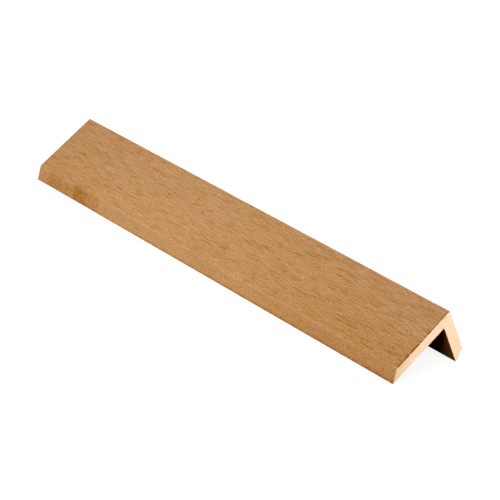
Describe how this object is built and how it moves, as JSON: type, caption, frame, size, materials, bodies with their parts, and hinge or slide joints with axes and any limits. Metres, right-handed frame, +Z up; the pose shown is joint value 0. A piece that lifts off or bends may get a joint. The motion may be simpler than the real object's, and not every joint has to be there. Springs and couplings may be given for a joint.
{
  "type": "decking corner trim",
  "caption": "Solid wood-plastic angle with unequal legs, brushed outside, each free edge bevelled thin; caps the corner between a deck's top boards and its side.",
  "frame": {"origin": "centre of the bounding box's bottom: midway along the trim, on the level surface it rests on", "axes": "+X along the length towards one sawn end, +Z up through the ridge's side, the wide leg slopes down towards -Y and the narrow leg towards +Y"},
  "size_m": [0.35, 0.0666, 0.041],
  "materials": {
    "composite": "matte"
  },
  "bodies": {
    "root": {"corner_trim": "composite"}
  },
  "joints": []
}
